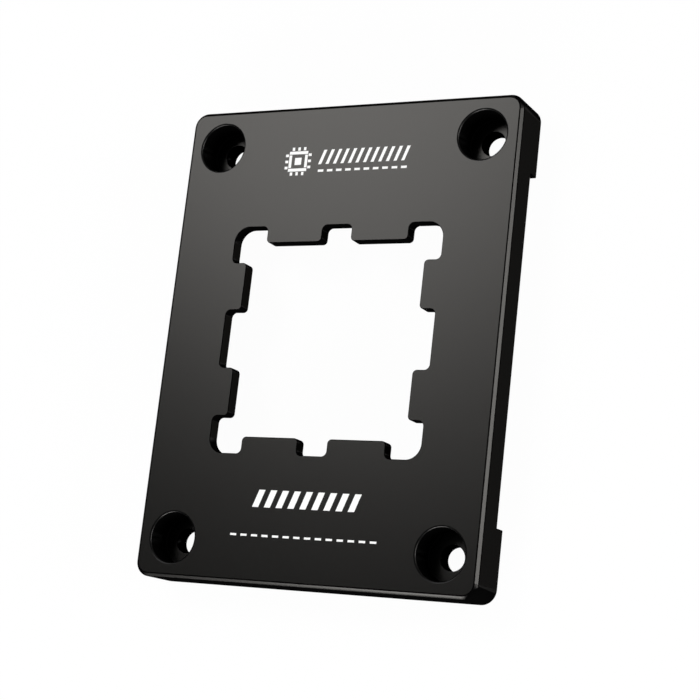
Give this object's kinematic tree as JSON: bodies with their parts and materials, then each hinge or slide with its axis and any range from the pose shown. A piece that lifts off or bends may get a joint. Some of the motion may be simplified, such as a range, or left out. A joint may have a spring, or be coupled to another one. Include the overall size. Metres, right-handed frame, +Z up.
{
  "type": "cpu socket retention frame",
  "caption": "Flat rectangular frame with a toothed square window and sunk screw holes near its corners, which presses a square processor evenly into its socket.",
  "frame": {"origin": "middle of the underside, on the plane of the two end bars", "axes": "+Z up out of the printed face, +Y along the plate's length, +X along its width"},
  "size_m": [0.0544, 0.071, 0.0069],
  "materials": {
    "black_anodised": "fine blasted, black anodised, with a soft sheen"
  },
  "bodies": {
    "root": {"retention_frame": "black_anodised"}
  },
  "joints": []
}
